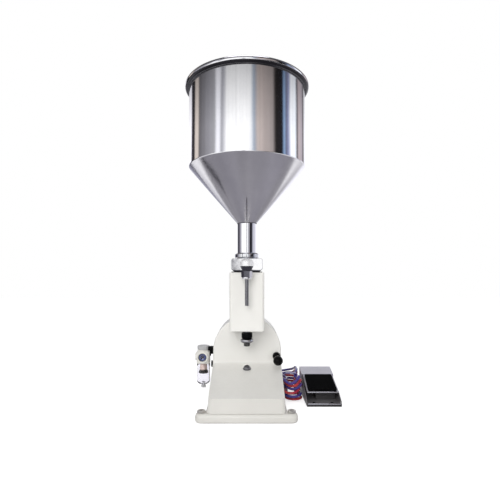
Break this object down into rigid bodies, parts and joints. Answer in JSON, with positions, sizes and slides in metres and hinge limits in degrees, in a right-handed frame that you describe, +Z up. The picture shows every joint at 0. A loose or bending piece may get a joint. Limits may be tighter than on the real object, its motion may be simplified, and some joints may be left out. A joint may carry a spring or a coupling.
{
  "type": "pneumatic filling machine",
  "caption": "Bench-top pneumatic filler: open steel hopper over a metering head on a cast body, with air regulator, push-pull switch and hose-linked foot pedal.",
  "frame": {"origin": "on the floor under the hopper's axis, on the base plate's flat underside", "axes": "+Z up, -Y towards the operator and the nozzle's side, +X towards the foot pedal"},
  "size_m": [0.3439, 0.3468, 0.7077],
  "materials": {
    "cream_paint": "smooth cream enamel",
    "plain_steel": "satin steel",
    "polished_steel": "polished stainless steel",
    "hopper_steel": "mirror drum, brushed cone",
    "chrome_trim": "bright chrome",
    "cylinder_aluminium": "clear anodised",
    "black_plastic": "satin moulded",
    "off_white_plastic": "moulded",
    "grey_plastic": "moulded",
    "clear_bowl": "clear polycarbonate with a lilac cast",
    "gauge_glass": "clear",
    "bronze_filter": "sintered bronze",
    "seal_rubber": "food-grade silicone",
    "pedal_metal": "light grey satin",
    "pad_rubber": "matte ribbed",
    "red_hose": "soft polyurethane",
    "blue_hose": "soft polyurethane"
  },
  "bodies": {
    "machine": {"base_plate": "cream_paint", "base_bolt_left": "plain_steel", "base_bolt_right": "plain_steel", "body_casting": "cream_paint", "apron_bolt": "plain_steel", "rear_panel": "cream_paint", "port_manifold": "black_plastic", "head_cover": "cream_paint", "head_back_plate": "cream_paint", "head_bracket": "plain_steel", "air_cylinder": "cylinder_aluminium", "metering_cylinder": "polished_steel", "valve_block": "polished_steel", "spool_cylinder": "cylinder_aluminium", "nozzle_elbow": "polished_steel", "nozzle_nut": "chrome_trim", "nozzle_tube": "plain_steel", "block_ferrule": "polished_steel", "hopper_gasket": "seal_rubber", "hopper": "hopper_steel", "clamp_ring": "polished_steel", "switch_valve": "cylinder_aluminium", "switch_collar": "black_plastic", "regulator_body": "off_white_plastic", "gauge_case": "off_white_plastic", "gauge_lens": "gauge_glass", "filter_bowl": "clear_bowl", "filter_element": "bronze_filter", "baffle": "black_plastic", "regulator_elbow": "black_plastic", "flank_plug": "black_plastic", "pedal_tray": "pedal_metal", "hinge_pin": "plain_steel", "pedal_hood": "pedal_metal", "pedal_valve": "black_plastic", "red_hose_hank": "red_hose", "red_hose_machine_run": "red_hose", "red_hose_pedal_run": "red_hose", "blue_hose_hank": "blue_hose", "blue_hose_machine_run": "blue_hose", "blue_hose_pedal_run": "blue_hose", "hank_tie": "blue_hose"},
    "pistons": {"air_piston": "cylinder_aluminium", "piston_rod": "polished_steel", "metering_piston": "polished_steel", "piston_seal": "seal_rubber"},
    "adjuster": {"adjust_screw": "plain_steel", "adjust_knob": "black_plastic", "lock_ring": "chrome_trim", "end_nut": "plain_steel"},
    "spool": {"valve_spool": "polished_steel"},
    "switch": {"switch_stem": "chrome_trim", "switch_knob": "black_plastic"},
    "pressure_cap": {"regulator_cap": "grey_plastic"},
    "needle": {"gauge_needle": "black_plastic"},
    "drain": {"bowl_drain": "grey_plastic"},
    "treadle": {"treadle": "pedal_metal", "treadle_pad": "pad_rubber"},
    "plunger": {"valve_plunger": "plain_steel"}
  },
  "joints": [
    {"name": "piston_stroke", "type": "slide", "parent": "machine", "child": "pistons", "axis": [0, 0, 1], "range_m": [0, 0.04]},
    {"name": "adjuster_turn", "type": "hinge", "parent": "machine", "child": "adjuster", "pos_m": [0, -0.008, 0.15], "axis": [0, 0, 1], "continuous": true},
    {"name": "spool_shift", "type": "slide", "parent": "machine", "child": "spool", "axis": [0, 1, 0], "range_m": [0, 0.021]},
    {"name": "switch_push", "type": "slide", "parent": "machine", "child": "switch", "axis": [0, 1, 0], "range_m": [0, 0.008]},
    {"name": "cap_turn", "type": "hinge", "parent": "machine", "child": "pressure_cap", "pos_m": [-0.104, 0.05, 0.113], "axis": [0, 0, 1], "continuous": true},
    {"name": "needle_swing", "type": "hinge", "parent": "machine", "child": "needle", "pos_m": [-0.104, 0.03, 0.093], "axis": [0, 1, 0], "range_deg": [0, 270], "stiffness_Nm_per_rad": 0.0002},
    {"name": "drain_push", "type": "slide", "parent": "machine", "child": "drain", "axis": [0, 0, 1], "range_m": [0, 0.003], "stiffness_N_per_m": 300, "springref_m": -0.004},
    {"name": "treadle_press", "type": "hinge", "parent": "machine", "child": "treadle", "pos_m": [0.168, 0.062, 0.039], "axis": [1, 0, 0], "range_deg": [0, 10], "stiffness_Nm_per_rad": 3, "springref_deg": -17.19},
    {"name": "plunger_press", "type": "slide", "parent": "machine", "child": "plunger", "axis": [0, 0, -1], "range_m": [0, 0.0096]}
  ],
  "couplings": [
    {"joint": "plunger_press", "follows": "treadle_press", "m_per_rad": 0.0535}
  ]
}
